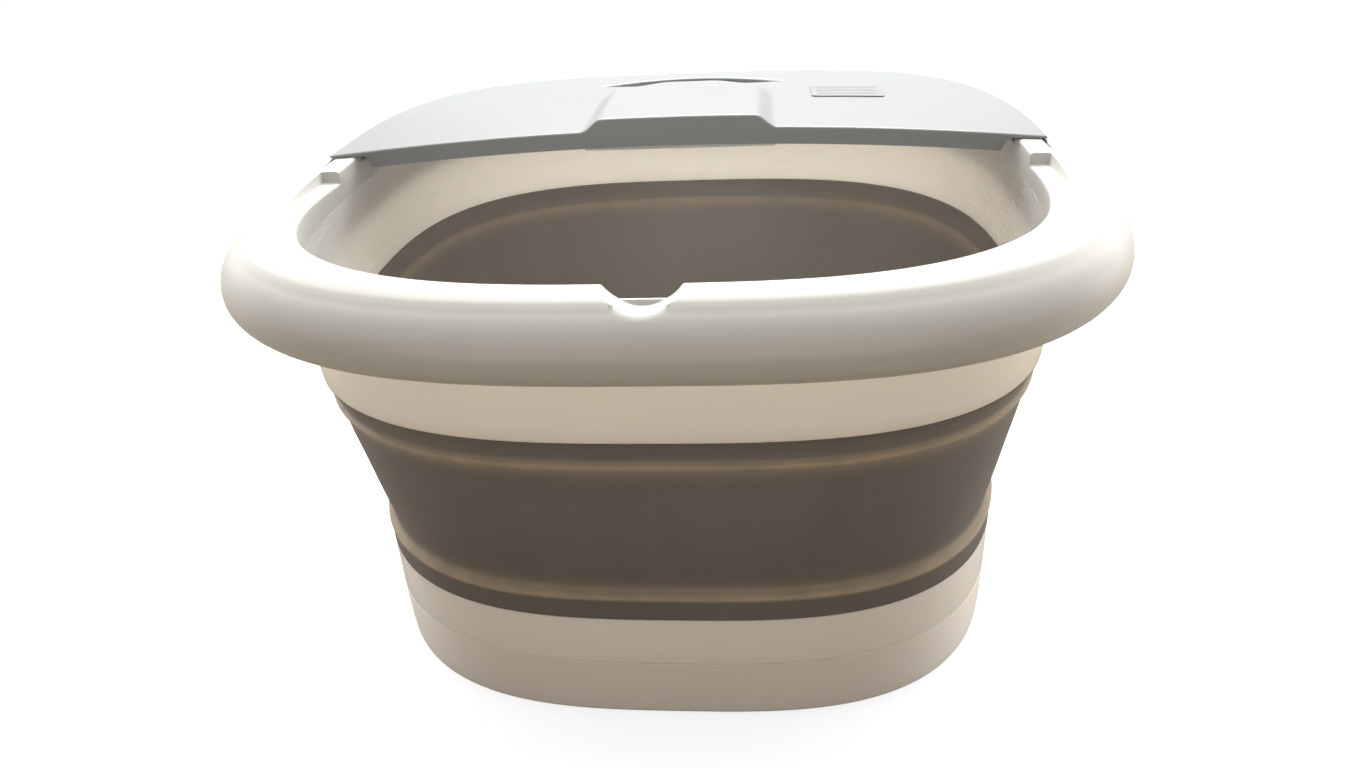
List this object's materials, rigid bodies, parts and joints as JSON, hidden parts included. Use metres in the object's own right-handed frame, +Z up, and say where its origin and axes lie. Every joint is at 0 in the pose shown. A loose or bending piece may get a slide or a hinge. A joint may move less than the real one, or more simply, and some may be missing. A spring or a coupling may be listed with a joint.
{
  "type": "folding foot spa basin",
  "caption": "Folding foot spa basin: glossy rolled rim frame with a rear deck and hand slot, grey folding wall band, white lower tub and base.",
  "frame": {"origin": "middle of the footprint, on the floor under the rubber feet", "axes": "+X to the right as the user sits facing the front scoop, +Y towards the rear deck, +Z up"},
  "size_m": [0.4, 0.38, 0.2449],
  "materials": {
    "gloss_white": "glossy moulded plastic",
    "deck_white": "satin moulded plastic",
    "band_grey": "soft matt elastomer",
    "label_grey": "plain printed film, left blank",
    "roller_grey": "satin moulded plastic",
    "dark_plastic": "fine textured moulded plastic",
    "foot_rubber": "matt rubber",
    "steel": "plated steel",
    "aluminium": "bare sheet",
    "board_green": "circuit board"
  },
  "bodies": {
    "base": {"base_shell": "gloss_white", "base_cover": "gloss_white", "lower_tub": "gloss_white", "folding_band": "band_grey", "foot_1": "foot_rubber", "foot_2": "foot_rubber", "foot_3": "foot_rubber", "foot_4": "foot_rubber", "roller_axle_1": "steel", "roller_axle_2": "steel", "roller_axle_3": "steel", "roller_axle_4": "steel", "bubble_strip": "roller_grey", "heater_plate": "aluminium", "thermostat": "steel", "air_pump": "dark_plastic", "air_hose": "dark_plastic", "control_board": "board_green", "mains_inlet": "dark_plastic", "inlet_pin_left": "steel", "inlet_pin_right": "steel", "cover_screw_1": "steel", "cover_screw_2": "steel", "cover_screw_3": "steel", "cover_screw_4": "steel"},
    "upper_frame": {"rim_frame": "gloss_white", "upper_collar": "gloss_white", "rear_deck": "deck_white", "latch_strip": "gloss_white", "label_plate": "label_grey"},
    "roller_1_body": {"roller_1": "roller_grey"},
    "roller_2_body": {"roller_2": "roller_grey"},
    "roller_3_body": {"roller_3": "roller_grey"},
    "roller_4_body": {"roller_4": "roller_grey"},
    "power_button_body": {"power_button": "roller_grey"},
    "mode_button_body": {"mode_button": "roller_grey"}
  },
  "joints": [
    {"name": "collapse", "type": "slide", "parent": "base", "child": "upper_frame", "axis": [0, 0, 1], "range_m": [-0.145, 0], "deforming": ["folding_band"]},
    {"name": "roller_1_spin", "type": "hinge", "parent": "base", "child": "roller_1_body", "pos_m": [-0.064, -0.022, 0.0502], "axis": [1, 0, 0], "continuous": true},
    {"name": "roller_2_spin", "type": "hinge", "parent": "base", "child": "roller_2_body", "pos_m": [-0.064, 0.028, 0.0502], "axis": [1, 0, 0], "continuous": true},
    {"name": "roller_3_spin", "type": "hinge", "parent": "base", "child": "roller_3_body", "pos_m": [0.064, -0.022, 0.0502], "axis": [1, 0, 0], "continuous": true},
    {"name": "roller_4_spin", "type": "hinge", "parent": "base", "child": "roller_4_body", "pos_m": [0.064, 0.028, 0.0502], "axis": [1, 0, 0], "continuous": true},
    {"name": "power_press", "type": "slide", "parent": "base", "child": "power_button_body", "axis": [0, -1, 0], "range_m": [0, 0.0012], "stiffness_N_per_m": 1500},
    {"name": "mode_press", "type": "slide", "parent": "base", "child": "mode_button_body", "axis": [0, -1, 0], "range_m": [0, 0.0012], "stiffness_N_per_m": 1500}
  ]
}
